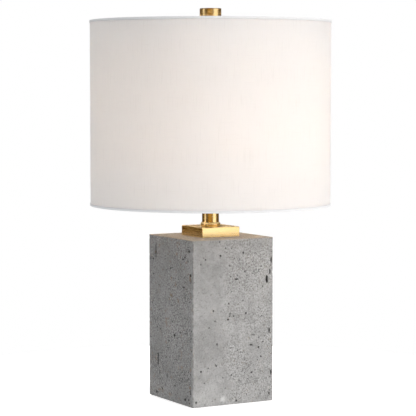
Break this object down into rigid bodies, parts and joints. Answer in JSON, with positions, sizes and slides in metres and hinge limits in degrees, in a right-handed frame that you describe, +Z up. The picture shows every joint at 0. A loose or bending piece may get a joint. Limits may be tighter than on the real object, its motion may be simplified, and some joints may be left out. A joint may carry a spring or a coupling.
{
  "type": "table lamp",
  "caption": "Table lamp: rough cast concrete block base with a square brass plinth and short brass neck, harp, cylindrical brass finial and a straight linen drum shade.",
  "frame": {"origin": "centre of the base on the table, on the lamp's vertical axis", "axes": "+Z up along the lamp's axis; the block's faces look along +X, -X, +Y and -Y; the harp lies in the XZ plane; the socket's turn knob points to -Y and the cord leaves at +Y"},
  "size_m": [0.3304, 0.3304, 0.5375],
  "materials": {
    "concrete": "matte",
    "felt": "matte",
    "black_plastic": "satin",
    "steel": "satin",
    "brass": "satin",
    "harp_brass": "satin",
    "socket_brass": "satin",
    "liner_card": "matte",
    "phenolic": "satin",
    "terminal_brass": "satin",
    "bulb_aluminium": "satin",
    "knob_plastic": "satin",
    "linen": "matte",
    "styrene": "matte",
    "white_wire": "satin",
    "linen_trim": "matte",
    "solder": "satin",
    "black_glass": "gloss",
    "frosted_glass": "matte",
    "clear_glass": "gloss",
    "tungsten": "satin"
  },
  "bodies": {
    "base": {"concrete_block": "concrete", "felt_base_pad": "felt", "cord_grommet": "black_plastic", "lamp_pipe": "steel", "bottom_washer": "steel", "lock_washer": "steel", "bottom_nut": "steel", "brass_plinth": "brass", "bead_ring": "brass", "neck_tube": "brass", "neck_cap": "brass", "neck_nut": "steel", "harp_saddle": "harp_brass", "socket_hub": "socket_brass", "socket_set_screw": "steel", "socket_cap": "socket_brass", "socket_shell": "socket_brass", "socket_liner": "liner_card", "socket_body": "phenolic", "terminal_screws": "terminal_brass", "screw_shell": "bulb_aluminium", "centre_contact": "terminal_brass", "harp_bow": "harp_brass", "harp_seat": "harp_brass", "harp_stud": "harp_brass"},
    "switch": {"switch_rotor": "phenolic", "switch_shaft": "steel", "turn_knob": "knob_plastic"},
    "ferrule_left": {"ferrule_left": "harp_brass"},
    "ferrule_right": {"ferrule_right": "harp_brass"},
    "shade": {"shade_fabric": "linen", "shade_liner": "styrene", "top_ring": "white_wire", "bottom_ring": "white_wire", "spider_arms": "white_wire", "spider_washer": "white_wire", "top_trim": "linen_trim", "bottom_trim": "linen_trim"},
    "finial_thread": {"finial_bush": "terminal_brass"},
    "finial": {"finial_cap": "brass"},
    "bulb_tip": {"bulb_contact": "solder"},
    "bulb": {"bulb_insulator": "black_glass", "bulb_cap": "bulb_aluminium", "bulb_glass": "frosted_glass", "bulb_stem": "clear_glass", "bulb_lead_wires": "steel", "bulb_filament": "tungsten"}
  },
  "joints": [
    {"name": "switch_turn", "type": "hinge", "parent": "base", "child": "switch", "pos_m": [0, 0, 0.3063], "axis": [0, -1, 0], "continuous": true},
    {"name": "ferrule_left_slide", "type": "slide", "parent": "base", "child": "ferrule_left", "axis": [0, 0, 1], "range_m": [0, 0.012]},
    {"name": "ferrule_right_slide", "type": "slide", "parent": "base", "child": "ferrule_right", "axis": [0, 0, 1], "range_m": [0, 0.012]},
    {"name": "shade_turn", "type": "hinge", "parent": "base", "child": "shade", "pos_m": [0, 0, 0.51], "axis": [0, 0, 1], "continuous": true},
    {"name": "finial_lift", "type": "slide", "parent": "base", "child": "finial_thread", "axis": [0, 0, 1], "range_m": [0, 0.0094]},
    {"name": "finial_turn", "type": "hinge", "parent": "finial_thread", "child": "finial", "pos_m": [0, 0, 0.51], "axis": [0, 0, 1], "range_deg": [0, 3600]},
    {"name": "bulb_lift", "type": "slide", "parent": "base", "child": "bulb_tip", "axis": [0, 0, 1], "range_m": [0, 0.0145]},
    {"name": "bulb_turn", "type": "hinge", "parent": "bulb_tip", "child": "bulb", "pos_m": [0, 0, 0.313], "axis": [0, 0, 1], "range_deg": [0, 1440]}
  ],
  "couplings": [
    {"joint": "finial_turn", "follows": "finial_lift", "rad_per_m": 6679},
    {"joint": "bulb_turn", "follows": "bulb_lift", "rad_per_m": 1731.6}
  ]
}
